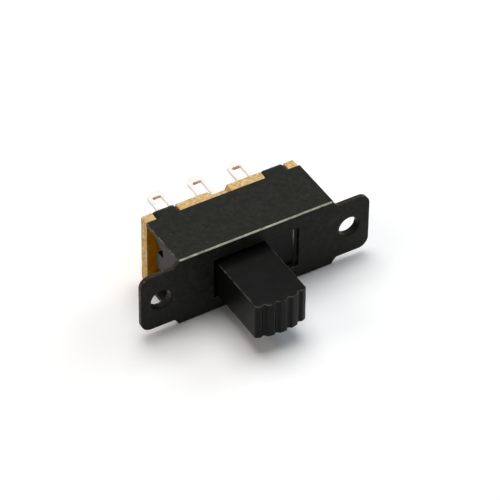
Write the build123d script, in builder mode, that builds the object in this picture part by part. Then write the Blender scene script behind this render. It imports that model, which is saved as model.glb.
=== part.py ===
from build123d import *
import os

# A two-pole, two-position slide switch for panel mounting. A U of sheet steel is the frame: its
# web is the mounting plate with two ears, and its two flanges run back to a phenolic terminal
# board, which four tabs crimp in place. Six solder lugs pass through the board and end inside as
# contact blades. A moulded slider carries two folded clips along the blades.
#
# Axes: +X along the plate from ear to ear, +Y from the plate's front face back to the lugs,
# +Z up, so that the switch lies on its lower flange. Origin: midway between the two mounting
# holes, on the plate's front face. The slider is at the -X end of its travel. All millimetres.

# Steel frame
sheet = 0.6
hole_offset = 2.55
ear_margin = 3.0
ear_height = 8.8
ear_corner_radius = 1.5
ear_root_slope = 0.7
body_length = 22.9
body_height = 10.9
frame_depth = 8.4
bend_radius = 0.3
window_end_clearance = 0.4
window_side_clearance = 0.55
window_corner_radius = 0.3

# Mounting holes, drawn through to the back
hole_diameter = 2.9
collar_depth = 1.1
collar_wall = 0.35
hole_lead_in = 0.25

# Crimp tabs, two on each flange
tab_spacing = 16.2
tab_width = 3.2
crimp_radius = 1.0
crimp_thickness = 0.5
crimp_corner_radius = 0.4
crimp_reach = 1.2
crimp_seat = 0.5

# Terminal board
board_end_inset = 0.05
board_edge_inset = 0.15
board_thickness = 1.5
board_corner_radius = 0.25
tab_notch_clearance = 0.15
tab_notch_floor_clearance = 0.05
centre_notch_left = 1.7
centre_notch_right = 1.3
centre_notch_depth = 0.75
centre_notch_left_slope = 0.95
centre_notch_right_slope = 0.35

# Solder lugs and their contact blades
lug_pitch = 6.0
row_spacing = 3.9
lug_thickness = 0.5
lug_width = 2.4
lug_length = 6.8
lug_eye_width = 1.25
lug_eye_length = 3.0
lug_eye_edge = 1.15
lug_eye_corner_radius = 0.2
barb_length = 0.5
barb_step = 0.2
blade_width = 2.8
blade_length = 2.65
blade_lead_in = 0.4
slit_clearance = 0.025

# Slider: carriage
slide_travel = 4.4
running_clearance = 0.1
carriage_length = 17.0
carriage_back = 7.1
carriage_end_chamfer = 0.5
runner_width = 1.0
channel_width = 1.25
channel_floor = 5.45
channel_lead_in = 0.25
clip_pocket_depth = 0.85
clip_pocket_clearance = 0.05

# Slider: knob
knob_width = 7.5
knob_height = 5.4
knob_reach = 9.68
crown_reach = 10.45
knob_edge_radius = 0.16
groove_pitch = 1.77
groove_count = 4
groove_radius = 0.3
rib_edge_radius = 0.38

# Bridging clips
clip_length = 9.6
clip_strip = 0.2
clip_contact_gap = 0.05
clip_free_gap = 0.12
clip_leg_length = 2.1
pinch_offset = 3.1
pinch_length = 1.8
pinch_ramp = 0.4

# Places that several pieces share
hole_spacing = body_length + 2 * hole_offset
plate_length = hole_spacing + 2 * ear_margin
window_length = knob_width + slide_travel + 2 * window_end_clearance
window_height = knob_height + 2 * window_side_clearance
flange_inside = body_height / 2 - sheet
board_length = body_length - 2 * board_end_inset
board_height = body_height - 2 * board_edge_inset
board_back = frame_depth + board_thickness
rest_position = -slide_travel / 2
row_height = row_spacing / 2
blade_inside = lug_thickness / 2
tab_places = [(x * tab_spacing / 2, z) for x in (-1, 1) for z in (-1, 1)]
column_names = {"left": -lug_pitch, "middle": 0.0, "right": lug_pitch}
row_names = {"upper": row_height, "lower": -row_height}

os.makedirs("parts", exist_ok=True)


# Steel frame: the folded channel, the plate with its ears, the collars and the crimped tabs
with BuildPart() as steel_frame:
    with BuildSketch(Plane.YZ) as channel:
        with Locations((frame_depth / 2, 0)):
            Rectangle(frame_depth, body_height)
        fillet(channel.vertices().group_by(Axis.X)[0], bend_radius)
        with Locations(((frame_depth + sheet) / 2, 0)):
            Rectangle(frame_depth - sheet, 2 * flange_inside, mode=Mode.SUBTRACT)
    extrude(amount=body_length / 2, both=True)

    with BuildSketch(Plane.XZ) as plate:
        Rectangle(plate_length, ear_height)
        fillet(plate.vertices(), ear_corner_radius)
        web_height = body_height - 2 * bend_radius
        root_half_height = ear_height / 2
        Polygon(
            (body_length / 2, web_height / 2),
            (body_length / 2 + ear_root_slope, root_half_height),
            (body_length / 2 + ear_root_slope, -root_half_height),
            (body_length / 2, -web_height / 2),
            (-body_length / 2, -web_height / 2),
            (-body_length / 2 - ear_root_slope, -root_half_height),
            (-body_length / 2 - ear_root_slope, root_half_height),
            (-body_length / 2, web_height / 2),
            align=None,
        )
    extrude(amount=-sheet)

    with BuildSketch(Plane.XZ.offset(-sheet)) as collars:
        with GridLocations(hole_spacing, 0, 2, 1):
            Circle(hole_diameter / 2 + collar_wall)
    extrude(amount=sheet - collar_depth)

    with BuildSketch(Plane.XZ) as openings:
        with GridLocations(hole_spacing, 0, 2, 1):
            Circle(hole_diameter / 2)
        RectangleRounded(window_length, window_height, window_corner_radius)
    extrude(amount=-collar_depth, mode=Mode.SUBTRACT)
    hole_mouths = (
        steel_frame.edges()
        .filter_by(GeomType.CIRCLE)
        .group_by(Axis.Y)[0]
        .filter_by(lambda e: abs(e.radius - hole_diameter / 2) < 0.01)
    )
    fillet(hole_mouths, hole_lead_in)

    for side in (-1, 1):
        with BuildSketch(Plane.YZ.offset(side * tab_spacing / 2)) as tabs:
            with BuildLine() as tab_outline:
                crimp_start = board_back + crimp_thickness - crimp_radius
                top = Line((frame_depth, body_height / 2), (crimp_start, body_height / 2))
                bend = JernArc(start=top @ 1, tangent=(1, 0), radius=crimp_radius, arc_size=-90)
                lip_end = flange_inside - crimp_reach
                Polyline(
                    bend @ 1,
                    (board_back + crimp_thickness, lip_end),
                    (board_back, lip_end),
                    (board_back, flange_inside - crimp_seat),
                    (board_back - crimp_seat, flange_inside),
                    (frame_depth, flange_inside),
                    top @ 0,
                )
            make_face()
            mirror(about=Plane.XZ)
        extrude(amount=tab_width / 2, both=True)
    tab_corners = (
        steel_frame.edges()
        .filter_by(Axis.Z)
        .filter_by_position(Axis.Y, board_back + crimp_thickness / 2, board_back + 2 * crimp_thickness)
    )
    fillet(tab_corners, crimp_corner_radius)


# Terminal board: stamped phenolic sheet, notched for the tabs and slit for the lugs
with BuildPart() as terminal_board:
    with BuildSketch(Plane.XZ.offset(-frame_depth)) as sheet_outline:
        RectangleRounded(board_length, board_height, board_corner_radius)
        notch_floor = flange_inside - tab_notch_floor_clearance
        notch_depth = board_height / 2 - notch_floor
        for x, z in tab_places:
            with Locations((x, z * (notch_floor + notch_depth))):
                Rectangle(tab_width + 2 * tab_notch_clearance, 2 * notch_depth, mode=Mode.SUBTRACT)
        with BuildLine() as centre_notch:
            notch_bottom = board_height / 2 - centre_notch_depth
            Polyline(
                (-centre_notch_left, board_height / 2),
                (centre_notch_left_slope - centre_notch_left, notch_bottom),
                (centre_notch_right - centre_notch_right_slope, notch_bottom),
                (centre_notch_right, board_height / 2),
                close=True,
            )
        make_face(mode=Mode.SUBTRACT)
        with GridLocations(lug_pitch, row_spacing, 3, 2):
            Rectangle(lug_width + 2 * slit_clearance, lug_thickness + 2 * slit_clearance, mode=Mode.SUBTRACT)
    extrude(amount=-board_thickness)
    crimp_seats = (
        terminal_board.edges()
        .filter_by(Axis.X)
        .group_by(Axis.Y)[-1]
        .filter_by(lambda e: abs(abs(e.center().Z) - notch_floor) < 0.01)
    )
    chamfer(crimp_seats, crimp_seat)


# Slider: the carriage with its runners and contact channels, and the ribbed knob in one moulding
with BuildPart() as slider:
    carriage_front = sheet + running_clearance
    carriage_height = 2 * (flange_inside - running_clearance)
    carriage_plane = Plane.XY.move(Location((rest_position, 0, 0)))
    with BuildSketch(carriage_plane) as carriage_plan:
        with Locations((0, (carriage_front + carriage_back) / 2)):
            Rectangle(carriage_length, carriage_back - carriage_front)
        chamfer(carriage_plan.vertices().group_by(Axis.Y)[0], carriage_end_chamfer)
    extrude(amount=carriage_height / 2, both=True)

    with BuildSketch(Plane.XZ.offset(-carriage_back)) as runners:
        with Locations((rest_position, 0)):
            with GridLocations(0, carriage_height - runner_width, 1, 2):
                Rectangle(carriage_length, runner_width)
    extrude(amount=-(frame_depth - running_clearance - carriage_back))

    with BuildSketch(Plane.YZ.offset(rest_position)) as channels:
        for z in row_names.values():
            mouth = channel_width / 2 + channel_lead_in
            with BuildLine() as channel_outline:
                Polyline(
                    (channel_floor, z - channel_width / 2),
                    (carriage_back - channel_lead_in, z - channel_width / 2),
                    (carriage_back, z - mouth),
                    (carriage_back, z + mouth),
                    (carriage_back - channel_lead_in, z + channel_width / 2),
                    (channel_floor, z + channel_width / 2),
                    close=True,
                )
            make_face()
    extrude(amount=carriage_length / 2, both=True, mode=Mode.SUBTRACT)

    with BuildSketch(Plane.XZ.offset(-channel_floor)) as pockets:
        with Locations((rest_position, 0)):
            with GridLocations(0, row_spacing, 1, 2):
                Rectangle(clip_length + 2 * clip_pocket_clearance, channel_width)
    extrude(amount=clip_pocket_depth, mode=Mode.SUBTRACT)

    with BuildSketch(carriage_plane) as knob_plan:
        half = knob_width / 2
        with BuildLine() as knob_outline:
            crown = ThreePointArc((-half, -knob_reach), (0, -crown_reach), (half, -knob_reach))
            Polyline(crown @ 1, (half, carriage_front), (-half, carriage_front), crown @ 0)
        make_face()
        for groove in range(groove_count):
            along = (groove - (groove_count - 1) / 2) * groove_pitch
            with Locations(crown @ (0.5 + along / crown.length)):
                Circle(groove_radius, mode=Mode.SUBTRACT)
        rib_edges = knob_plan.vertices().filter_by(lambda v: v.Y < 0)
        fillet(rib_edges, rib_edge_radius)
    extrude(amount=knob_height / 2, both=True)
    knob_edges = (
        slider.edges()
        .filter_by_position(Axis.Y, -crown_reach - knob_edge_radius, -knob_edge_radius)
        .filter_by(lambda e: abs(abs(e.center().Z) - knob_height / 2) < 0.01)
    )
    fillet(knob_edges, knob_edge_radius)


# Bridging clips: a web on the pocket's floor and two legs, pinched where they grip the blades
clips = {}
for row, z in row_names.items():
    web_front = channel_floor - clip_pocket_depth
    gripped = blade_inside + clip_contact_gap
    free = blade_inside + clip_free_gap
    pinch_start = pinch_offset - pinch_length / 2
    pinch_end = pinch_offset + pinch_length / 2
    right_half = [
        (pinch_start - pinch_ramp, free),
        (pinch_start, gripped),
        (pinch_end, gripped),
        (pinch_end + pinch_ramp, free),
        (clip_length / 2, free),
    ]
    inner_line = [(-x, gap) for x, gap in reversed(right_half)] + right_half
    outer_line = [(x, gap + clip_strip) for x, gap in reversed(inner_line)]
    with BuildPart() as clip:
        with BuildSketch(Plane.XZ.offset(-web_front)) as web:
            with Locations((rest_position, z)):
                Rectangle(clip_length, 2 * (free + clip_strip))
        extrude(amount=-clip_strip)
        with BuildSketch(Plane.XZ.offset(-web_front - clip_strip)) as legs:
            with Locations((rest_position, z)):
                with BuildLine(mode=Mode.PRIVATE) as leg_outline:
                    Polyline(*inner_line, *outer_line, close=True)
                leg = make_face(leg_outline.line, mode=Mode.PRIVATE)
                add(leg)
                add(mirror(leg, about=Plane.XZ, mode=Mode.PRIVATE))
        extrude(amount=-clip_leg_length)
    clip.part.label = f"clip_{row}"
    clips[row] = clip.part


# Terminals: blade inside the board, neck through it, staked barbs and the eyed lug outside
terminals = []
for row, z in row_names.items():
    for column, x in column_names.items():
        with BuildPart() as terminal:
            with BuildSketch(Plane.XY.offset(z)) as stamping:
                with Locations((x, frame_depth - blade_length / 2)):
                    Rectangle(blade_width, blade_length)
                chamfer(stamping.vertices().group_by(Axis.Y)[0], blade_lead_in)
                with Locations((x, board_back + barb_length / 2)):
                    Rectangle(lug_width + 2 * barb_step, barb_length)
                lug_tip = board_back + lug_length
                lug_straight = lug_tip - lug_width / 2 - frame_depth
                with Locations((x, frame_depth + lug_straight / 2)):
                    Rectangle(lug_width, lug_straight)
                with Locations((x, lug_tip - lug_width / 2)):
                    Circle(lug_width / 2)
                with Locations((x, lug_tip - lug_eye_edge - lug_eye_length / 2)):
                    RectangleRounded(
                        lug_eye_width, lug_eye_length, lug_eye_corner_radius, mode=Mode.SUBTRACT
                    )
            extrude(amount=lug_thickness / 2, both=True)
        terminal.part.label = f"terminal_{row}_{column}"
        terminals.append(terminal.part)


steel_frame.part.label = "steel_frame"
terminal_board.part.label = "terminal_board"
slider.part.label = "slider"

for piece in [steel_frame.part, terminal_board.part, slider.part, *clips.values(), *terminals]:
    export_step(piece, f"parts/{piece.label}.step")
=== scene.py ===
"""Looks of a two-pole slide switch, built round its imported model.

The switch lies on the lower flange of its folded steel frame. The mounting plate faces -Y, the
solder lugs point to +Y, and the slider runs along X. Everything is in metres.
"""

import logging
import math
from collections.abc import Callable
from dataclasses import dataclass, field
from enum import Enum

import bpy
from mathutils import Matrix, Vector


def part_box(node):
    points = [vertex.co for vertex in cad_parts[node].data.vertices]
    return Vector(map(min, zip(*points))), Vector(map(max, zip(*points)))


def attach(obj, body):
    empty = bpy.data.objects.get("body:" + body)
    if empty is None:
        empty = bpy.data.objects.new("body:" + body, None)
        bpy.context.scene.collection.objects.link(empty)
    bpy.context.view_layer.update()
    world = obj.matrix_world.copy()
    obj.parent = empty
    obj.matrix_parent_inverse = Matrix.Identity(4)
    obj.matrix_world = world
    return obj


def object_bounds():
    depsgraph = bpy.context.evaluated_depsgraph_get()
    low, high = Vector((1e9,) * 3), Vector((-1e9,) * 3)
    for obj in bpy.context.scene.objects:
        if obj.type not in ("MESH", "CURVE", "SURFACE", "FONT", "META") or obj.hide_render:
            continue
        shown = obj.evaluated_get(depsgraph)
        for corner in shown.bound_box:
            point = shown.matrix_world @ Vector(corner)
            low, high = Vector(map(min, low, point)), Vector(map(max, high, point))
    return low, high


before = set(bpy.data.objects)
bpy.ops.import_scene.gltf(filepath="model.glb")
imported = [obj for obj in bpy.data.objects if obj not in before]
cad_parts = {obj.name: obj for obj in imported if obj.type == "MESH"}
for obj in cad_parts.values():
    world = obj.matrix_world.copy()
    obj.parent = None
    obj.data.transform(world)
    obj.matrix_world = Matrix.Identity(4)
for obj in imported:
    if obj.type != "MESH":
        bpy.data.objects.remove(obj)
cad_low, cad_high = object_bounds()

log = logging.getLogger("slide_switch")

MM = 0.001

Colour = tuple[float, float, float]
Point = tuple[float, float, float]


class Slot(Enum):
    """Material slot names, as in the record; this script gives no piece a slot."""

    STEEL = "blackened_steel"
    BOARD = "phenolic"


class Body(Enum):
    """The body that the new pieces ride on; nothing new rides on the slider."""

    FRAME = "frame"


class Side(Enum):
    """The two sides of the switch along X."""

    LEFT = -1
    RIGHT = 1


# ---------------------------------------------------------------------------------------------
# Node graphs
# ---------------------------------------------------------------------------------------------


@dataclass(frozen=True)
class Band:
    """Where a smooth rise from 0 to 1 begins and ends; the begin may be the larger of the two."""

    begin: float
    end: float


@dataclass(frozen=True)
class Cloud:
    """Smooth noise in space.

    Attributes:
        scale: how many features lie in a millimetre.
        detail: how many finer layers are added.
        roughness: how strong the finer layers are.
        stretch: packs the features along each axis; a small number draws them out into streaks.
    """

    scale: float
    detail: float
    roughness: float
    stretch: Point = (1.0, 1.0, 1.0)


class Graph:
    """A shader node tree with short calls for the nodes that the finishes share."""

    def __init__(self, tree: bpy.types.NodeTree) -> None:
        """Empties the tree.

        Args:
            tree: the shader tree to fill.
        """
        self.tree = tree
        self.tree.nodes.clear()

    def add(self, kind: str, **settings: object) -> bpy.types.Node:
        """Adds a node.

        Args:
            kind: the node's type name.
            settings: node properties to set by name.

        Returns:
            The new node.
        """
        node = self.tree.nodes.new(kind)
        for name, value in settings.items():
            setattr(node, name, value)
        return node

    def feed(self, socket: bpy.types.NodeSocket, value: object) -> None:
        """Links a socket to an output, or sets its value.

        Args:
            socket: the input to feed.
            value: an output socket, a number, or a colour or vector.
        """
        if isinstance(value, bpy.types.NodeSocket):
            self.tree.links.new(value, socket)
        elif isinstance(value, tuple) and len(value) == 3 and socket.type == "RGBA":
            socket.default_value = (*value, 1.0)
        else:
            socket.default_value = value

    def math(self, operation: str, *values: object) -> bpy.types.NodeSocket:
        """Adds a Math node.

        Args:
            operation: the node's operation.
            values: its inputs in order.

        Returns:
            The result.
        """
        node = self.add("ShaderNodeMath", operation=operation)
        for socket, value in zip(node.inputs, values):
            self.feed(socket, value)
        return node.outputs[0]

    def times(self, first: object, *others: object) -> object:
        """The product of its values."""
        for other in others:
            first = self.math("MULTIPLY", first, other)
        return first

    def most(self, first: object, *others: object) -> object:
        """The largest of its values."""
        for other in others:
            first = self.math("MAXIMUM", first, other)
        return first

    def share(self, first: object, second: object, weight: float) -> bpy.types.NodeSocket:
        """Adds two heights, the first by its weight and the second by what is left of 1."""
        return self.math("ADD", self.times(first, weight), self.times(second, 1.0 - weight))

    def step(self, value: object, band: Band) -> bpy.types.NodeSocket:
        """A smooth rise from 0 to 1.

        Args:
            value: what is compared.
            band: where the result leaves 0, and where it reaches 1.

        Returns:
            A factor between 0 and 1.
        """
        node = self.add("ShaderNodeMapRange", interpolation_type="SMOOTHSTEP")
        self.feed(node.inputs["Value"], value)
        falling = band.begin > band.end
        node.inputs["From Min"].default_value = min(band.begin, band.end)
        node.inputs["From Max"].default_value = max(band.begin, band.end)
        node.inputs["To Min"].default_value = 1.0 if falling else 0.0
        node.inputs["To Max"].default_value = 0.0 if falling else 1.0
        return node.outputs["Result"]

    def millimetres(
        self, scale: Point = (1.0, 1.0, 1.0), turn: Point = (0.0, 0.0, 0.0)
    ) -> bpy.types.NodeSocket:
        """Object coordinates in millimetres.

        Args:
            scale: stretches the coordinates along each axis after the turn.
            turn: angles about X, Y and Z in radians.

        Returns:
            The coordinates.
        """
        place = self.add("ShaderNodeTexCoord").outputs["Object"]
        mapping = self.add("ShaderNodeMapping", vector_type="POINT")
        self.feed(mapping.inputs["Vector"], place)
        mapping.inputs["Rotation"].default_value = turn
        mapping.inputs["Scale"].default_value = tuple(k / MM for k in scale)
        return mapping.outputs["Vector"]

    def axes(self, vector: bpy.types.NodeSocket) -> list[bpy.types.NodeSocket]:
        """The X, Y and Z parts of a vector."""
        node = self.add("ShaderNodeSeparateXYZ")
        self.feed(node.inputs[0], vector)
        return list(node.outputs)

    def facing(self) -> list[bpy.types.NodeSocket]:
        """How far the surface faces along X, Y and Z, each from 0 to 1."""
        normal = self.add("ShaderNodeTexCoord").outputs["Normal"]
        return [self.math("ABSOLUTE", part) for part in self.axes(normal)]

    def noise(self, cloud: Cloud, turn: float = 0.0) -> bpy.types.NodeSocket:
        """Smooth noise on object coordinates.

        Args:
            cloud: its size and make.
            turn: the angle that it is turned about Z, in radians.

        Returns:
            A factor around 0.5.
        """
        node = self.add("ShaderNodeTexNoise")
        self.feed(node.inputs["Vector"], self.millimetres(cloud.stretch, (0.0, 0.0, turn)))
        node.inputs["Scale"].default_value = cloud.scale
        node.inputs["Detail"].default_value = cloud.detail
        node.inputs["Roughness"].default_value = cloud.roughness
        return node.outputs[0]

    def mix(self, factor: object, first: object, second: object) -> bpy.types.NodeSocket:
        """Mixes two colours.

        Args:
            factor: 0 gives the first, 1 the second.
            first: a colour.
            second: a colour.

        Returns:
            The mixed colour.
        """
        node = self.add("ShaderNodeMix", data_type="RGBA")
        self.feed(node.inputs[0], factor)
        self.feed(node.inputs[6], first)
        self.feed(node.inputs[7], second)
        return node.outputs[2]

    def blend(self, factor: object, first: float, second: float) -> bpy.types.NodeSocket:
        """A number that goes from first to second as the factor goes from 0 to 1."""
        return self.math("MULTIPLY_ADD", factor, second - first, first)

    def sight(self) -> bpy.types.NodeSocket:
        """1 for the eye and for what mirrors and glass show it, 0 for other light."""
        path = self.add("ShaderNodeLightPath")
        rays = ("Is Glossy Ray", "Is Transmission Ray", "Is Camera Ray")
        return self.most(*(path.outputs[ray] for ray in rays))

    def rounded_normal(self, radius: float) -> bpy.types.NodeSocket:
        """A normal that turns softly over sharp edges.

        Args:
            radius: the size of the rounding, in metres.

        Returns:
            The normal.
        """
        node = self.add("ShaderNodeBevel", samples=6)
        node.inputs["Radius"].default_value = radius
        return node.outputs["Normal"]

    def edge_mask(self, radius: float, turned: Band) -> bpy.types.NodeSocket:
        """Where the surface lies beside a sharp edge.

        Args:
            radius: how far the mask reaches from the edge, in metres.
            turned: the turn of the normal where the mask begins, and where it is full.

        Returns:
            A factor between 0 and 1.
        """
        dot = self.add("ShaderNodeVectorMath", operation="DOT_PRODUCT")
        self.feed(dot.inputs[0], self.rounded_normal(radius))
        self.feed(dot.inputs[1], self.add("ShaderNodeNewGeometry").outputs["True Normal"])
        return self.step(self.math("SUBTRACT", 1.0, dot.outputs["Value"]), turned)

    def relief(self, height: object, depth: float, normal: object = None) -> bpy.types.NodeSocket:
        """Bump from a height.

        Args:
            height: the relief, from 0 to 1.
            depth: how deep a full step of the height is, in metres.
            normal: the normal to start from.

        Returns:
            The bumped normal.
        """
        node = self.add("ShaderNodeBump")
        node.inputs["Distance"].default_value = depth
        self.feed(node.inputs["Height"], height)
        if normal is not None:
            self.feed(node.inputs["Normal"], normal)
        return node.outputs["Normal"]

    def surface(self, **inputs: object) -> None:
        """Ends the tree in a Principled shader.

        Args:
            inputs: its inputs by name, with underscores for spaces.
        """
        shader = self.add("ShaderNodeBsdfPrincipled")
        for name, value in inputs.items():
            self.feed(shader.inputs[name.replace("_", " ")], value)
        output = self.add("ShaderNodeOutputMaterial")
        self.feed(output.inputs["Surface"], shader.outputs[0])


# ---------------------------------------------------------------------------------------------
# Finishes
# ---------------------------------------------------------------------------------------------


@dataclass(frozen=True)
class Finish:
    """A surface finish, made once and given to every piece that has it."""

    name: str

    def wire(self, graph: Graph) -> None:
        """Fills the material's node tree; each finish does this its own way."""
        raise NotImplementedError

    def material(self) -> bpy.types.Material:
        """The finish as a material, made on the first call and found again after it."""
        found = bpy.data.materials.get(self.name)
        if found is None:
            found = bpy.data.materials.new(self.name)
            found.use_nodes = True
            self.wire(Graph(found.node_tree))
        return found


@dataclass(frozen=True)
class Scratches:
    """A set of fine parallel scratches, turned about Z and kept where the noise is high."""

    turn: float
    found: Band


@dataclass(frozen=True)
class BlackenedSteel(Finish):
    """Phosphated sheet steel: dark grey with a trace of green, mottled, with a painted highlight
    and wear along the folds.
    """

    dark: Colour = (0.0145, 0.0155, 0.0120)
    light: Colour = (0.0245, 0.0257, 0.0198)
    smudge: Colour = (0.026, 0.030, 0.034)
    cut: Colour = (0.045, 0.034, 0.024)
    # Pale steel for specks, scratches and worn edges, and for the painted highlight along the
    # folds.
    wear_and_fold_highlight: Colour = (0.62, 0.65, 0.51)
    freckle: Colour = (0.42, 0.27, 0.13)

    fold_front: float = 0.0
    fold_top: float = 5.45
    fold_radius: float = 0.3
    body_half_length: float = 11.45
    hole_place: float = 14.0
    collar_half_width: float = 1.75

    mottle: Cloud = Cloud(1.3, 8.0, 0.68)
    mottle_band: Band = Band(0.32, 0.70)
    smudges: Cloud = Cloud(0.28, 3.0, 0.5)
    smudge_band: Band = Band(0.56, 0.74)
    smudge_strength: float = 0.55
    specks: Cloud = Cloud(9.0, 3.0, 0.6)
    speck_band: Band = Band(0.69, 0.76)
    speck_strength: float = 0.10
    scratch: Cloud = Cloud(1.0, 3.0, 0.6, (7.0, 0.35, 7.0))
    scratch_sets: tuple[Scratches, ...] = (
        Scratches(0.35, Band(0.700, 0.750)),
        Scratches(-0.90, Band(0.715, 0.765)),
        Scratches(1.45, Band(0.705, 0.755)),
    )
    scratch_strength: float = 0.12

    sideways: Band = Band(0.6, 0.4)
    endways: Band = Band(0.90, 0.97)
    ear_margin: float = 0.02
    collar_margin: float = 0.05
    collar_share: float = 0.15
    shear: Cloud = Cloud(1.6, 5.0, 0.7, (4.0, 1.0, 4.0))
    shear_band: Band = Band(0.35, 0.65)
    shear_least: float = 0.25
    shear_most: float = 0.9
    freckles: Cloud = Cloud(3.2, 4.0, 0.65)
    freckle_band: Band = Band(0.60, 0.68)
    freckle_strength: float = 0.55

    fold_line: Band = Band(0.80, 0.62)
    fold_margin: float = 0.3
    fold_wear: Cloud = Cloud(0.8, 6.0, 0.7, (1.0, 3.0, 3.0))
    fold_wear_band: Band = Band(0.36, 0.60)
    fold_least: float = 0.45
    edge_reach: float = 0.09 * MM
    edge_turn: Band = Band(0.05, 0.22)
    edge_patches: Band = Band(0.48, 0.66)
    edge_strength: float = 0.30

    grain: Cloud = Cloud(26.0, 2.0, 0.5)
    grain_weight: float = 0.5
    grain_depth: float = 0.006 * MM
    rounding: float = 0.05 * MM
    worn_metal: float = 0.3
    shine_band: Band = Band(0.3, 0.7)
    smoothest: float = 0.34
    roughest: float = 0.50
    specular: float = 0.07

    def cut_mask(self, graph: Graph) -> bpy.types.NodeSocket:
        """Where the sheet was sheared: the ears' rims and the flanges' ends.

        Args:
            graph: the material's graph.

        Returns:
            A factor between 0 and 1, low inside the drawn collars.
        """
        across, along, _ = graph.facing()
        x, _, z = graph.axes(graph.millimetres())
        out = graph.math("ABSOLUTE", x)
        past_body = Band(self.body_half_length, self.body_half_length + self.ear_margin)
        rims = graph.times(graph.step(out, past_body), graph.step(along, self.sideways))
        beside = graph.math("ABSOLUTE", graph.math("SUBTRACT", out, self.hole_place))
        from_hole = graph.most(beside, graph.math("ABSOLUTE", z))
        past_collar = Band(self.collar_half_width, self.collar_half_width + self.collar_margin)
        drawn = graph.blend(graph.step(from_hole, past_collar), self.collar_share, 1.0)
        return graph.most(graph.times(rims, drawn), graph.step(across, self.endways))

    def fold_mask(self, graph: Graph) -> bpy.types.NodeSocket:
        """Where the two long folds are painted bright: a painted highlight along each bend, with
        patches of wear on it.

        Args:
            graph: the material's graph.

        Returns:
            A factor between 0 and 1.
        """
        x, y, z = graph.axes(graph.millimetres())
        below = graph.math("SUBTRACT", self.fold_top, graph.math("ABSOLUTE", z))
        behind = graph.math("SUBTRACT", y, self.fold_front)
        depth = graph.math("ADD", below, behind)
        begin, end = self.fold_line.begin * self.fold_radius, self.fold_line.end * self.fold_radius
        line = graph.step(depth, Band(begin, end))
        along_body = Band(self.body_half_length, self.body_half_length - self.fold_margin)
        body = graph.step(graph.math("ABSOLUTE", x), along_body)
        wear = graph.step(graph.noise(self.fold_wear), self.fold_wear_band)
        return graph.times(line, body, graph.blend(wear, self.fold_least, 1.0))

    def wire(self, graph: Graph) -> None:
        """Mottled phosphate with specks, fine scratches, a painted highlight with wear along the
        folds, and browned cut edges.
        """
        mottle = graph.noise(self.mottle)
        colour = graph.mix(graph.step(mottle, self.mottle_band), self.dark, self.light)
        smudges = graph.step(graph.noise(self.smudges), self.smudge_band)
        colour = graph.mix(graph.times(smudges, self.smudge_strength), colour, self.smudge)
        specks = graph.step(graph.noise(self.specks), self.speck_band)
        colour = graph.mix(graph.times(specks, self.speck_strength), colour, self.wear_and_fold_highlight)
        scratched = graph.most(
            *(graph.step(graph.noise(self.scratch, s.turn), s.found) for s in self.scratch_sets)
        )
        colour = graph.mix(graph.times(scratched, self.scratch_strength), colour, self.wear_and_fold_highlight)

        cut = self.cut_mask(graph)
        shear = graph.step(graph.noise(self.shear), self.shear_band)
        browned = graph.times(cut, graph.blend(shear, self.shear_least, self.shear_most))
        colour = graph.mix(browned, colour, self.cut)
        freckles = graph.times(cut, graph.step(graph.noise(self.freckles), self.freckle_band))
        colour = graph.mix(graph.times(freckles, self.freckle_strength), colour, self.freckle)

        # Pale marks: wear along sharp edges, and along the folds a painted highlight with patches
        # of wear.
        rubbed_and_highlight = graph.edge_mask(self.edge_reach, self.edge_turn)
        rubbed_and_highlight = graph.times(rubbed_and_highlight, graph.step(mottle, self.edge_patches), self.edge_strength)
        wear_and_fold_highlight = graph.most(self.fold_mask(graph), rubbed_and_highlight)
        colour = graph.mix(wear_and_fold_highlight, colour, self.wear_and_fold_highlight)
        height = graph.share(graph.noise(self.grain), mottle, self.grain_weight)
        rough = graph.blend(graph.step(mottle, self.shine_band), self.smoothest, self.roughest)
        graph.surface(
            Base_Color=colour,
            Metallic=graph.times(wear_and_fold_highlight, self.worn_metal),
            Roughness=rough,
            Specular_IOR_Level=self.specular,
            Normal=graph.relief(height, self.grain_depth, graph.rounded_normal(self.rounding)),
        )


@dataclass(frozen=True)
class PhenolicSheet(Finish):
    """Resin-bonded paper: smooth brown faces, pale ragged punched edges."""

    face_dark: Colour = (0.86, 0.27, 0.002)
    face_light: Colour = (0.96, 0.43, 0.010)
    edge_dark: Colour = (0.50, 0.28, 0.09)
    edge_light: Colour = (0.90, 0.65, 0.32)

    edgeways: Band = Band(0.75, 0.55)
    torn: Cloud = Cloud(1.7, 8.0, 0.72, (1.0, 1.6, 1.0))
    layers: Cloud = Cloud(1.0, 4.0, 0.6, (0.6, 9.0, 0.6))
    torn_weight: float = 0.65
    edge_band: Band = Band(0.38, 0.62)
    fibres: Cloud = Cloud(1.4, 5.0, 0.6, (1.2, 1.0, 5.0))
    blots: Cloud = Cloud(0.7, 4.0, 0.55)
    fibre_weight: float = 0.5
    face_band: Band = Band(0.36, 0.64)
    face_relief: float = 0.12
    relief_depth: float = 0.09 * MM
    rounding: float = 0.04 * MM
    face_roughness: float = 0.34
    edge_roughness: float = 0.85
    specular: float = 0.45

    def wire(self, graph: Graph) -> None:
        """Layered, torn edges against smooth faces with faint fibres."""
        edge = graph.step(graph.facing()[1], self.edgeways)
        layers = graph.noise(self.layers)
        edge_tone = graph.share(graph.noise(self.torn), layers, self.torn_weight)
        edge_colour = graph.mix(
            graph.step(edge_tone, self.edge_band), self.edge_dark, self.edge_light
        )
        blots = graph.noise(self.blots)
        face_tone = graph.share(graph.noise(self.fibres), blots, self.fibre_weight)
        face_colour = graph.mix(
            graph.step(face_tone, self.face_band), self.face_dark, self.face_light
        )
        height = graph.times(edge_tone, graph.blend(edge, self.face_relief, 1.0))
        graph.surface(
            Base_Color=graph.mix(edge, face_colour, edge_colour),
            Roughness=graph.blend(edge, self.face_roughness, self.edge_roughness),
            Specular_IOR_Level=self.specular,
            Normal=graph.relief(height, self.relief_depth, graph.rounded_normal(self.rounding)),
        )


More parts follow.
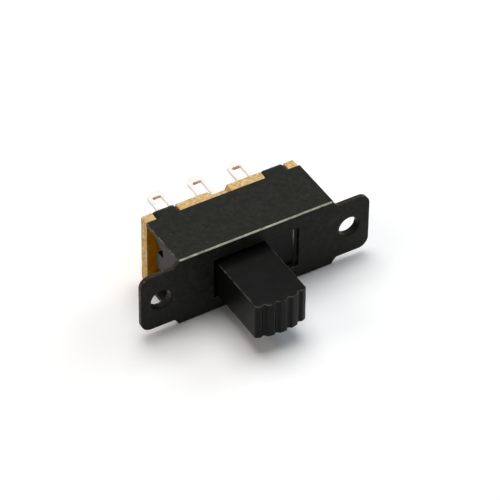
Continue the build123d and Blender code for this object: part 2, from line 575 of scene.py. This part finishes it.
@dataclass(frozen=True)
class BlackMoulding(Finish):
    """Black moulded plastic, satin, with a painted highlight on its upper edges."""

    base: Colour = (0.0042, 0.0042, 0.0040)
    dusty: Colour = (0.0058, 0.0057, 0.0053)
    # Pale brown for the painted highlight on the knob's upper edges, also the colour of the dust
    # motes.
    rubbed_and_highlight: Colour = (0.15, 0.125, 0.090)

    clouds: Cloud = Cloud(0.9, 6.0, 0.65)
    dust_band: Band = Band(0.40, 0.72)
    motes: Cloud = Cloud(7.0, 2.0, 0.5)
    mote_band: Band = Band(0.71, 0.77)
    mote_strength: float = 0.06
    before_plate: Band = Band(-0.2, -1.0)
    leaves_side: Band = Band(0.25, 0.55)
    nears_top: Band = Band(0.99, 0.90)
    highlight_band: Band = Band(0.34, 0.60)
    highlight_strength: float = 0.80
    grain: Cloud = Cloud(14.0, 3.0, 0.5)
    grain_weight: float = 0.7
    grain_depth: float = 0.005 * MM
    rounding: float = 0.04 * MM
    shine_band: Band = Band(0.3, 0.7)
    smoothest: float = 0.30
    roughest: float = 0.36
    specular: float = 0.10

    def highlight_mask(self, graph: Graph) -> bpy.types.NodeSocket:
        """Where a highlight is painted on the knob: the rounding between its top and its sides.

        Args:
            graph: the material's graph.

        Returns:
            A factor between 0 and 1, which is 0 behind the plate.
        """
        out = graph.step(graph.axes(graph.millimetres())[1], self.before_plate)
        up = graph.facing()[2]
        return graph.times(graph.step(up, self.leaves_side), graph.step(up, self.nears_top), out)

    def wire(self, graph: Graph) -> None:
        """Fine mould grain, a trace of dust, and a painted highlight that makes the upper edges
        paler.
        """
        clouds = graph.noise(self.clouds)
        colour = graph.mix(graph.step(clouds, self.dust_band), self.base, self.dusty)
        motes = graph.step(graph.noise(self.motes), self.mote_band)
        colour = graph.mix(graph.times(motes, self.mote_strength), colour, self.rubbed_and_highlight)
        # Painted highlight: the rounding between the knob's top and its sides is painted pale
        # brown, in patches.
        rubbed_and_highlight = graph.times(self.highlight_mask(graph), graph.step(clouds, self.highlight_band))
        colour = graph.mix(graph.times(rubbed_and_highlight, self.highlight_strength), colour, self.rubbed_and_highlight)
        height = graph.share(graph.noise(self.grain), clouds, self.grain_weight)
        rough = graph.blend(graph.step(clouds, self.shine_band), self.smoothest, self.roughest)
        graph.surface(
            Base_Color=colour,
            Roughness=rough,
            Specular_IOR_Level=self.specular,
            Normal=graph.relief(height, self.grain_depth, graph.rounded_normal(self.rounding)),
        )


@dataclass(frozen=True)
class TinPlate(Finish):
    """Brass strip under bright tin: nearly white, with bare brass where the strip was parted."""

    tin: Colour = (0.97, 0.96, 0.94)
    dull: Colour = (0.84, 0.81, 0.76)
    brass: Colour = (0.52, 0.34, 0.12)

    patches: Cloud = Cloud(1.1, 6.0, 0.65)
    dull_band: Band = Band(0.42, 0.74)
    endways: Band = Band(0.55, 0.85)
    bare_band: Band = Band(0.36, 0.56)
    bare_strength: float = 0.8
    streaks: Cloud = Cloud(1.0, 4.0, 0.6, (9.0, 0.7, 9.0))
    ripple: Cloud = Cloud(4.0, 4.0, 0.5)
    streak_weight: float = 0.4
    relief_depth: float = 0.02 * MM
    rounding: float = 0.08 * MM
    metal: float = 0.20
    shine_band: Band = Band(0.3, 0.7)
    smoothest: float = 0.36
    roughest: float = 0.54

    def wire(self, graph: Graph) -> None:
        """Rolled streaks along the lug, dull patches, and brass on the parted end faces."""
        patches = graph.noise(self.patches)
        colour = graph.mix(graph.step(patches, self.dull_band), self.tin, self.dull)
        parted = graph.step(graph.facing()[1], self.endways)
        bare = graph.times(parted, graph.step(patches, self.bare_band), self.bare_strength)
        ripple = graph.noise(self.ripple)
        height = graph.share(graph.noise(self.streaks), ripple, self.streak_weight)
        rough = graph.blend(graph.step(patches, self.shine_band), self.smoothest, self.roughest)
        graph.surface(
            Base_Color=graph.mix(bare, colour, self.brass),
            Metallic=self.metal,
            Roughness=rough,
            Normal=graph.relief(height, self.relief_depth, graph.rounded_normal(self.rounding)),
        )


@dataclass(frozen=True)
class SpringBronze(Finish):
    """Rolled spring bronze with a faint tarnish."""

    bright: Colour = (0.80, 0.52, 0.26)
    tarnish: Colour = (0.42, 0.22, 0.09)

    streaks: Cloud = Cloud(1.2, 4.0, 0.6, (0.6, 8.0, 8.0))
    clouds: Cloud = Cloud(1.0, 5.0, 0.6)
    tarnish_band: Band = Band(0.40, 0.75)
    smoothest: float = 0.22
    roughest: float = 0.42
    relief_depth: float = 0.012 * MM
    rounding: float = 0.04 * MM

    def wire(self, graph: Graph) -> None:
        """Rolling streaks along the strip with cloudy tarnish."""
        streaks = graph.noise(self.streaks)
        tarnished = graph.step(graph.noise(self.clouds), self.tarnish_band)
        graph.surface(
            Base_Color=graph.mix(tarnished, self.bright, self.tarnish),
            Metallic=1.0,
            Roughness=graph.blend(streaks, self.smoothest, self.roughest),
            Normal=graph.relief(streaks, self.relief_depth, graph.rounded_normal(self.rounding)),
        )


@dataclass(frozen=True)
class BareMetal(Finish):
    """Steel with the black rubbed off, as on a burr or a flake."""

    bright: Colour = (0.52, 0.49, 0.44)
    brown: Colour = (0.24, 0.17, 0.11)

    patches: Cloud = Cloud(2.6, 5.0, 0.65)
    bright_band: Band = Band(0.40, 0.62)
    metal: float = 0.7
    smoothest: float = 0.30
    roughest: float = 0.60
    relief_depth: float = 0.01 * MM

    def wire(self, graph: Graph) -> None:
        """Bright steel with brown patches."""
        patches = graph.noise(self.patches)
        graph.surface(
            Base_Color=graph.mix(graph.step(patches, self.bright_band), self.brown, self.bright),
            Metallic=self.metal,
            Roughness=graph.blend(patches, self.smoothest, self.roughest),
            Normal=graph.relief(patches, self.relief_depth),
        )


@dataclass(frozen=True)
class PaperCrumb(Finish):
    """Crumbs of resin-bonded paper left by the punch."""

    pale: Colour = (0.78, 0.60, 0.34)
    brown: Colour = (0.40, 0.21, 0.07)

    tone: Cloud = Cloud(3.0, 3.0, 0.6)
    pale_band: Band = Band(0.40, 0.60)
    smoothest: float = 0.7
    roughest: float = 0.9
    relief_depth: float = 0.02 * MM

    def wire(self, graph: Graph) -> None:
        """Pale crumbs, some of them browner."""
        tone = graph.noise(self.tone)
        graph.surface(
            Base_Color=graph.mix(graph.step(tone, self.pale_band), self.brown, self.pale),
            Roughness=graph.blend(tone, self.smoothest, self.roughest),
            Normal=graph.relief(tone, self.relief_depth),
        )


@dataclass(frozen=True)
class StudioFloor(Finish):
    """A white table, seen pure white where it is fully lit."""

    lit: Colour = (0.80, 0.80, 0.80)
    seen: Colour = (1.10, 1.10, 1.10)
    lamp_height: float = 0.40

    def wire(self, graph: Graph) -> None:
        """Plain matt white; the eye and its reflections see it white out to the horizon.

        A lamp's light on the table falls with the square of one plus the squared slant, and the
        seen colour rises by as much.
        """
        away = graph.add("ShaderNodeVectorMath", operation="LENGTH")
        graph.feed(away.inputs[0], graph.add("ShaderNodeTexCoord").outputs["Object"])
        slant = graph.math("DIVIDE", away.outputs["Value"], self.lamp_height)
        squared = graph.math("POWER", slant, 2.0)
        dimming = graph.math("POWER", graph.math("ADD", squared, 1.0), 2.0)
        seen = graph.add("ShaderNodeVectorMath", operation="SCALE")
        graph.feed(seen.inputs[0], self.seen)
        graph.feed(seen.inputs["Scale"], dimming)
        shader = graph.add("ShaderNodeBsdfDiffuse")
        graph.feed(shader.inputs["Color"], graph.mix(graph.sight(), self.lit, seen.outputs[0]))
        output = graph.add("ShaderNodeOutputMaterial")
        graph.feed(output.inputs["Surface"], shader.outputs[0])


# ---------------------------------------------------------------------------------------------
# Geometry node trees
# ---------------------------------------------------------------------------------------------


class ShapeTree:
    """A geometry node tree with named inputs for its sizes."""

    def __init__(self, name: str) -> None:
        """Starts the tree.

        Args:
            name: the tree's name.
        """
        self.tree = bpy.data.node_groups.new(name, "GeometryNodeTree")
        for side in ("INPUT", "OUTPUT"):
            self.tree.interface.new_socket(
                "Geometry", in_out=side, socket_type="NodeSocketGeometry"
            )
        self.start = self.tree.nodes.new("NodeGroupInput")
        self.end = self.tree.nodes.new("NodeGroupOutput")

    def size(self, name: str, kind: str = "NodeSocketFloat") -> bpy.types.NodeSocket:
        """Adds a named input.

        Args:
            name: the input's name.
            kind: the socket's type.

        Returns:
            The socket that gives its value inside the tree.
        """
        self.tree.interface.new_socket(name, in_out="INPUT", socket_type=kind)
        return self.start.outputs[name]

    def add(
        self, kind: str, feeds: dict[str, object] | None = None, **settings: object
    ) -> bpy.types.Node:
        """Adds a node and feeds its inputs.

        Args:
            kind: the node's type name.
            feeds: inputs by name, each an output socket or a plain value.
            settings: node properties to set by name.

        Returns:
            The new node.
        """
        node = self.tree.nodes.new(kind)
        for name, value in settings.items():
            setattr(node, name, value)
        for name, value in (feeds or {}).items():
            socket = next(s for s in node.inputs if s.name == name and s.enabled)
            if isinstance(value, bpy.types.NodeSocket):
                self.tree.links.new(value, socket)
            else:
                socket.default_value = value
        return node

    def close(
        self, geometry: bpy.types.NodeSocket, material: bpy.types.NodeSocket
    ) -> bpy.types.NodeTree:
        """Ends the tree in Realize Instances and Set Material.

        Args:
            geometry: what the tree made.
            material: the material input.

        Returns:
            The finished tree.
        """
        real = self.add("GeometryNodeRealizeInstances", {"Geometry": geometry})
        dressed = self.add(
            "GeometryNodeSetMaterial", {"Geometry": real.outputs[0], "Material": material}
        )
        self.tree.links.new(dressed.outputs[0], self.end.inputs[0])
        return self.tree


def crumb_tree(knock: float = 0.35) -> bpy.types.NodeTree:
    """Builds the tree that strews flat crumbs over a surface.

    Args:
        knock: how far a crumb's corners are knocked out of round, as a share of its radius.

    Returns:
        The tree, with inputs Density, Smallest, Largest, Flatness, Seed and Material.
    """
    shape = ShapeTree("strewn_crumbs")
    density = shape.size("Density")
    smallest = shape.size("Smallest")
    largest = shape.size("Largest")
    flatness = shape.size("Flatness")
    seed = shape.size("Seed", "NodeSocketInt")
    material = shape.size("Material", "NodeSocketMaterial")
    points = shape.add(
        "GeometryNodeDistributePointsOnFaces",
        {"Mesh": shape.start.outputs["Geometry"], "Density": density, "Seed": seed},
    )
    crumb = shape.add("GeometryNodeMeshIcoSphere", {"Radius": 1.0, "Subdivisions": 1})
    ragged = shape.add(
        "FunctionNodeRandomValue",
        {"Min": (-knock,) * 3, "Max": (knock,) * 3},
        data_type="FLOAT_VECTOR",
    )
    knocked = shape.add(
        "GeometryNodeSetPosition", {"Geometry": crumb.outputs[0], "Offset": ragged.outputs[0]}
    )
    spread = shape.add(
        "FunctionNodeRandomValue",
        {"Min": smallest, "Max": largest, "Seed": seed},
        data_type="FLOAT",
    )
    size = next(s for s in spread.outputs if s.enabled)
    height = shape.add("ShaderNodeMath", operation="MULTIPLY")
    shape.tree.links.new(size, height.inputs[0])
    shape.tree.links.new(flatness, height.inputs[1])
    scale = shape.add("ShaderNodeCombineXYZ", {"X": size, "Y": size, "Z": height.outputs[0]})
    strewn = shape.add(
        "GeometryNodeInstanceOnPoints",
        {
            "Points": points.outputs["Points"],
            "Instance": knocked.outputs[0],
            "Rotation": points.outputs["Rotation"],
            "Scale": scale.outputs[0],
        },
    )
    return shape.close(strewn.outputs[0], material)


def burr_tree(
    found: Band = Band(0.42, 0.66), thinnest: float = 0.12, scale: float = 1400.0
) -> bpy.types.NodeTree:
    """Builds the tree that raises a ragged burr along a path of edges.

    Args:
        found: the noise at which the burr is thinnest, and at which it is full.
        thinnest: its least radius, as a share of the full one.
        scale: how many swellings of the noise lie in a metre.

    Returns:
        The tree, with inputs Width, Pitch, Raggedness, Seed and Material.
    """
    shape = ShapeTree("ragged_burr")
    width = shape.size("Width")
    pitch = shape.size("Pitch")
    ragged = shape.size("Raggedness")
    seed = shape.size("Seed")
    material = shape.size("Material", "NodeSocketMaterial")
    path = shape.add("GeometryNodeMeshToCurve", {"Mesh": shape.start.outputs["Geometry"]})
    even = shape.add(
        "GeometryNodeResampleCurve", {"Curve": path.outputs[0], "Length": pitch}, mode="LENGTH"
    )
    wander = shape.add(
        "ShaderNodeTexNoise", {"W": seed, "Scale": scale, "Detail": 3.0}, noise_dimensions="4D"
    )
    swell = shape.add(
        "ShaderNodeMapRange",
        {
            "Value": wander.outputs[0],
            "From Min": found.begin,
            "From Max": found.end,
            "To Min": thinnest,
            "To Max": 1.0,
        },
    )
    radius = shape.add("ShaderNodeMath", operation="MULTIPLY")
    shape.tree.links.new(swell.outputs["Result"], radius.inputs[0])
    shape.tree.links.new(width, radius.inputs[1])
    centred = shape.add("ShaderNodeVectorMath", operation="SUBTRACT")
    shape.tree.links.new(wander.outputs["Color"], centred.inputs[0])
    centred.inputs[1].default_value = (0.5, 0.5, 0.5)
    shift = shape.add("ShaderNodeVectorMath", operation="SCALE")
    shape.tree.links.new(centred.outputs[0], shift.inputs[0])
    shape.tree.links.new(ragged, shift.inputs["Scale"])
    bent = shape.add(
        "GeometryNodeSetPosition", {"Geometry": even.outputs[0], "Offset": shift.outputs[0]}
    )
    profile = shape.add("GeometryNodeCurvePrimitiveCircle", {"Resolution": 6, "Radius": 1.0})
    swept = shape.add(
        "GeometryNodeCurveToMesh",
        {
            "Curve": bent.outputs[0],
            "Profile Curve": profile.outputs[0],
            "Scale": radius.outputs[0],
            "Fill Caps": True,
        },
    )
    return shape.close(swept.outputs[0], material)


def grow(
    host: bpy.types.Object, tree: bpy.types.NodeTree, sizes: dict[str, object], name: str
) -> bpy.types.Object:
    """Runs a tree on a host and keeps the result as a plain mesh.

    Args:
        host: the object that the tree starts from; it is removed.
        tree: the geometry node tree.
        sizes: the tree's inputs by name.
        name: the new piece's name.

    Returns:
        The new piece.
    """
    modifier = host.modifiers.new(tree.name, "NODES")
    modifier.node_group = tree
    for item in tree.interface.items_tree:
        if item.in_out == "INPUT" and item.name in sizes:
            modifier[item.identifier] = sizes[item.name]
    host.update_tag()
    bpy.context.view_layer.update()
    evaluated = host.evaluated_get(bpy.context.evaluated_depsgraph_get())
    mesh = bpy.data.meshes.new_from_object(evaluated)
    mesh.name = name
    host.modifiers.remove(modifier)
    bpy.data.objects.remove(host)
    piece = bpy.data.objects.new(name, mesh)
    bpy.context.scene.collection.objects.link(piece)
    for polygon in mesh.polygons:
        polygon.use_smooth = False
    return piece


# ---------------------------------------------------------------------------------------------
# Sub-assemblies
# ---------------------------------------------------------------------------------------------


def dress(node: str, finish: Finish) -> None:
    """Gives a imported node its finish.

    Args:
        node: the node's name.
        finish: what it is finished in.
    """
    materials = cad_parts[node].data.materials
    if not materials:
        materials.append(None)
    for index in range(len(materials)):
        materials[index] = finish.material()
    log.info("%s: %s", node, finish.name)


def settle(piece: bpy.types.Object, body: Body) -> None:
    """Makes a new piece ride on its body.

    Args:
        piece: the finished piece.
        body: what it rides on.
    """
    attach(piece, body.value)
    log.info("%s: %d faces on %s", piece.name, len(piece.data.polygons), body.value)


def part_of_surface(
    node: str, keep: Callable[[Vector, Vector], bool], name: str
) -> bpy.types.Object:
    """Copies the faces of a node that pass a test.

    Args:
        node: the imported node.
        keep: says yes for a face's centre and normal.
        name: the copy's name.

    Returns:
        An object that holds only those faces.
    """
    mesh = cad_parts[node].data
    corners: list[Vector] = []
    faces: list[tuple[int, ...]] = []
    for polygon in mesh.polygons:
        if keep(polygon.center, polygon.normal):
            start = len(corners)
            corners += [mesh.vertices[i].co for i in polygon.vertices]
            faces.append(tuple(range(start, len(corners))))
    copied = bpy.data.meshes.new(name)
    copied.from_pydata(corners, [], faces)
    host = bpy.data.objects.new(name, copied)
    bpy.context.scene.collection.objects.link(host)
    return host


def path_of_edges(points: list[Point], name: str) -> bpy.types.Object:
    """An object that is only a run of edges.

    Args:
        points: the corners of the run.
        name: the object's name.

    Returns:
        The object.
    """
    edges = [(i, i + 1) for i in range(len(points) - 1)]
    mesh = bpy.data.meshes.new(name)
    mesh.from_pydata(points, edges, [])
    host = bpy.data.objects.new(name, mesh)
    bpy.context.scene.collection.objects.link(host)
    return host


@dataclass
class SteelFrame:
    """The folded sheet frame with its plate, ears, collars and crimped tabs."""

    window_length: float = 12.7 * MM
    window_height: float = 6.5 * MM
    sheet: float = 0.6 * MM
    fold_radius: float = 0.3 * MM
    board_inset: float = 0.05 * MM
    flake_smallest: float = 0.010 * MM
    flake_largest: float = 0.028 * MM
    flakes_per_square_mm: float = 0.22
    flake_flatness: float = 0.35
    flake_seed: int = 5
    burr_width: float = 0.035 * MM
    burr_pitch: float = 0.07 * MM
    burr_wander: float = 0.05 * MM
    burr_sink: float = 1 / 3
    burr_first_seed: float = 3.0
    burr_seed_step: float = 7.0
    squarely: float = 0.95

    def finish(self) -> BlackenedSteel:
        """The frame's finish, told where its folds and ends are."""
        low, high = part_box("steel_frame")
        half_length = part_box("terminal_board")[1].x + self.board_inset
        return BlackenedSteel(
            "blackened_steel_finish",
            fold_front=low.y / MM,
            fold_top=high.z / MM,
            fold_radius=self.fold_radius / MM,
            body_half_length=half_length / MM,
        )

    def add_flakes(self, crumbs: bpy.types.NodeTree) -> None:
        """Strews tiny flakes over the outside of the frame.

        Args:
            crumbs: the tree that strews.
        """
        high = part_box("steel_frame")[1]

        def outside(centre: Vector, normal: Vector) -> bool:
            top = normal.z > self.squarely and centre.z > high.z - self.fold_radius / 2
            front = normal.y < -self.squarely and centre.y < self.sheet / 2
            return top or front

        host = part_of_surface("steel_frame", outside, "flake_host")
        sizes = {
            "Density": self.flakes_per_square_mm / MM**2,
            "Smallest": self.flake_smallest,
            "Largest": self.flake_largest,
            "Flatness": self.flake_flatness,
            "Seed": self.flake_seed,
            "Material": BareMetal("flake_metal").material(),
        }
        settle(grow(host, crumbs, sizes, "frame_flakes"), Body.FRAME)

    def add_burrs(self, burr: bpy.types.NodeTree) -> None:
        """Raises the punch's burr under the window and the shear's burr at the upper flange's ends.

        Args:
            burr: the tree that raises it.
        """
        low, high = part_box("steel_frame")
        x, z = self.window_length / 2, self.window_height / 2
        sink = self.burr_width * self.burr_sink
        front = low.y + sink
        runs = {"window_burr": [(-x, front, -z), (x, front, -z)]}
        half_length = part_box("terminal_board")[1].x + self.board_inset
        board_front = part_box("terminal_board")[0].y
        for side in Side:
            end = side.value * (half_length - sink)
            top = high.z - sink
            run = [(end, 2 * self.fold_radius, top), (end, board_front - sink, top)]
            runs[f"flange_burr_{side.name.lower()}"] = run
        for place, (name, points) in enumerate(runs.items()):
            sizes = {
                "Width": self.burr_width,
                "Pitch": self.burr_pitch,
                "Raggedness": self.burr_wander,
                "Seed": self.burr_first_seed + self.burr_seed_step * place,
                "Material": BareMetal("burr_metal").material(),
            }
            host = path_of_edges(points, name + "_path")
            settle(grow(host, burr, sizes, name), Body.FRAME)

    def build(self, crumbs: bpy.types.NodeTree, burr: bpy.types.NodeTree) -> None:
        """Dresses the frame and adds its flakes and burrs.

        Args:
            crumbs: the tree that strews crumbs.
            burr: the tree that raises a burr.
        """
        dress("steel_frame", self.finish())
        self.add_flakes(crumbs)
        self.add_burrs(burr)


@dataclass
class TerminalBoard:
    """The stamped phenolic board with its ragged edges."""

    crumb_smallest: float = 0.025 * MM
    crumb_largest: float = 0.075 * MM
    crumbs_per_square_mm: float = 3.0
    crumb_flatness: float = 0.6
    crumb_seed: int = 11
    edgeways: float = 0.3

    def build(self, crumbs: bpy.types.NodeTree) -> None:
        """Dresses the board and strews crumbs along its long punched edges.

        Args:
            crumbs: the tree that strews crumbs.
        """
        dress("terminal_board", PhenolicSheet("phenolic_finish"))
        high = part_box("terminal_board")[1]

        def punched_edge(centre: Vector, normal: Vector) -> bool:
            return abs(normal.y) < self.edgeways and abs(centre.z) > high.z / 2

        host = part_of_surface("terminal_board", punched_edge, "crumb_host")
        sizes = {
            "Density": self.crumbs_per_square_mm / MM**2,
            "Smallest": self.crumb_smallest,
            "Largest": self.crumb_largest,
            "Flatness": self.crumb_flatness,
            "Seed": self.crumb_seed,
            "Material": PaperCrumb("crumb_paper").material(),
        }
        settle(grow(host, crumbs, sizes, "board_crumbs"), Body.FRAME)


@dataclass
class Terminals:
    """The solder lugs and their contact blades."""

    rows: tuple[str, ...] = ("upper", "lower")
    columns: tuple[str, ...] = ("left", "middle", "right")

    def build(self) -> None:
        """Dresses every lug in tin."""
        finish = TinPlate("tin_finish")
        for row in self.rows:
            for column in self.columns:
                dress(f"terminal_{row}_{column}", finish)


@dataclass
class SliderAssembly:
    """The moulded slider with the two clips that it carries."""

    clips: tuple[str, ...] = ("clip_upper", "clip_lower")

    def build(self) -> None:
        """Dresses the moulding and the clips."""
        dress("slider", BlackMoulding("black_moulding_finish"))
        finish = SpringBronze("bronze_finish")
        for clip in self.clips:
            dress(clip, finish)


# ---------------------------------------------------------------------------------------------
# Studio
# ---------------------------------------------------------------------------------------------


@dataclass(frozen=True)
class SoftBox:
    """A square studio lamp aimed at the switch."""

    name: str
    azimuth: float
    elevation: float
    distance: float
    side: float
    power: float
    tint: Colour

    def place(self, aim: Vector) -> None:
        """Adds the lamp.

        Args:
            aim: the point that it shines at.
        """
        lamp = bpy.data.lights.new(self.name, "AREA")
        lamp.shape = "SQUARE"
        lamp.size = self.side
        lamp.energy = self.power
        lamp.color = self.tint
        away = direction(self.azimuth, self.elevation)
        holder = bpy.data.objects.new(self.name, lamp)
        holder.location = aim + self.distance * away
        holder.rotation_euler = away.to_track_quat("Z", "Y").to_euler()
        bpy.context.scene.collection.objects.link(holder)


def direction(azimuth: float, elevation: float) -> Vector:
    """The way from the switch to a point round it.

    Args:
        azimuth: 0 is in front of the plate, 90 at its right, in degrees.
        elevation: the angle above the floor, in degrees.

    Returns:
        A unit vector.
    """
    a, e = math.radians(azimuth), math.radians(elevation)
    return Vector((math.sin(a) * math.cos(e), -math.cos(a) * math.cos(e), math.sin(e)))


@dataclass
class Studio:
    """A white table, three soft boxes, a dim room and the camera."""

    table_side: float = 4.0
    room_low: Colour = (0.17, 0.17, 0.17)
    room_high: Colour = (0.10, 0.10, 0.105)
    backdrop: Colour = (1.0, 1.0, 1.0)
    room_band: Band = Band(0.0, 0.7)
    backdrop_band: Band = Band(0.40, 0.28)
    camera_azimuth: float = -31.148
    camera_elevation: float = 41.776
    camera_roll: float = 0.740
    camera_distance: float = 418.3 * MM
    camera_aim: Point = (-1.02 * MM, 0.0, 2.66 * MM)
    lens: float = 235.92
    sensor: float = 36.0
    clip_start: float = 10 * MM
    clip_end: float = 20.0
    boxes: list[SoftBox] = field(
        default_factory=lambda: [
            SoftBox("top_box", 158.0, 74.0, 0.45, 0.38, 1.62, (1.0, 0.995, 0.985)),
            SoftBox("left_box", -106.0, 36.0, 0.45, 0.20, 0.42, (1.0, 0.93, 0.84)),
            SoftBox("right_box", 100.0, 34.0, 0.45, 0.20, 0.56, (0.84, 0.94, 1.0)),
        ]
    )

    def lay_table(self) -> None:
        """Lays the white table under the lower flange."""
        half, height = self.table_side / 2, cad_low.z
        turns = ((-1, -1), (1, -1), (1, 1), (-1, 1))
        corners = [(x * half, y * half, height) for x, y in turns]
        mesh = bpy.data.meshes.new("table_top")
        mesh.from_pydata(corners, [], [(0, 1, 2, 3)])
        mesh.materials.append(StudioFloor("white_table").material())
        table = bpy.data.objects.new("table_top", mesh)
        bpy.context.scene.collection.objects.link(table)

    def light_room(self) -> None:
        """Fills the room with a dim glow; the eye sees it white round the horizon."""
        world = bpy.data.worlds.new("room")
        bpy.context.scene.world = world
        world.use_nodes = True
        graph = Graph(world.node_tree)
        up = graph.axes(graph.add("ShaderNodeTexCoord").outputs["Generated"])[2]
        glow = graph.add("ShaderNodeBackground")
        room = graph.mix(graph.step(up, self.room_band), self.room_low, self.room_high)
        backdrop = graph.times(graph.sight(), graph.step(up, self.backdrop_band))
        graph.feed(glow.inputs["Color"], graph.mix(backdrop, room, self.backdrop))
        output = graph.add("ShaderNodeOutputWorld")
        graph.feed(output.inputs["Surface"], glow.outputs[0])

    def set_camera(self) -> None:
        """Sets the camera, tilted by the roll about its own axis."""
        lens = bpy.data.cameras.new("camera")
        lens.lens = self.lens
        lens.sensor_width = self.sensor
        lens.clip_start = self.clip_start
        lens.clip_end = self.clip_end
        camera = bpy.data.objects.new("camera", lens)
        away = direction(self.camera_azimuth, self.camera_elevation)
        turn = away.to_track_quat("Z", "Y").to_matrix().to_4x4()
        roll = Matrix.Rotation(math.radians(self.camera_roll), 4, "Z")
        place = Matrix.Translation(Vector(self.camera_aim) + self.camera_distance * away)
        camera.matrix_world = place @ turn @ roll
        bpy.context.scene.collection.objects.link(camera)
        bpy.context.scene.camera = camera

    def build(self) -> None:
        """Lays the table, lights the room and sets the camera."""
        self.lay_table()
        self.light_room()
        middle = (cad_low + cad_high) / 2
        for box in self.boxes:
            box.place(middle)
        self.set_camera()
        bpy.context.scene.view_settings.view_transform = "Standard"
        log.info("studio: %d soft boxes", len(self.boxes))


def main() -> None:
    """Builds the switch's looks piece by piece, then the studio."""
    logging.basicConfig(level=logging.INFO, format="%(message)s")
    crumbs = crumb_tree()
    burr = burr_tree()
    SteelFrame().build(crumbs, burr)
    TerminalBoard().build(crumbs)
    Terminals().build()
    SliderAssembly().build()
    Studio().build()


if __name__ == "__main__":
    main()
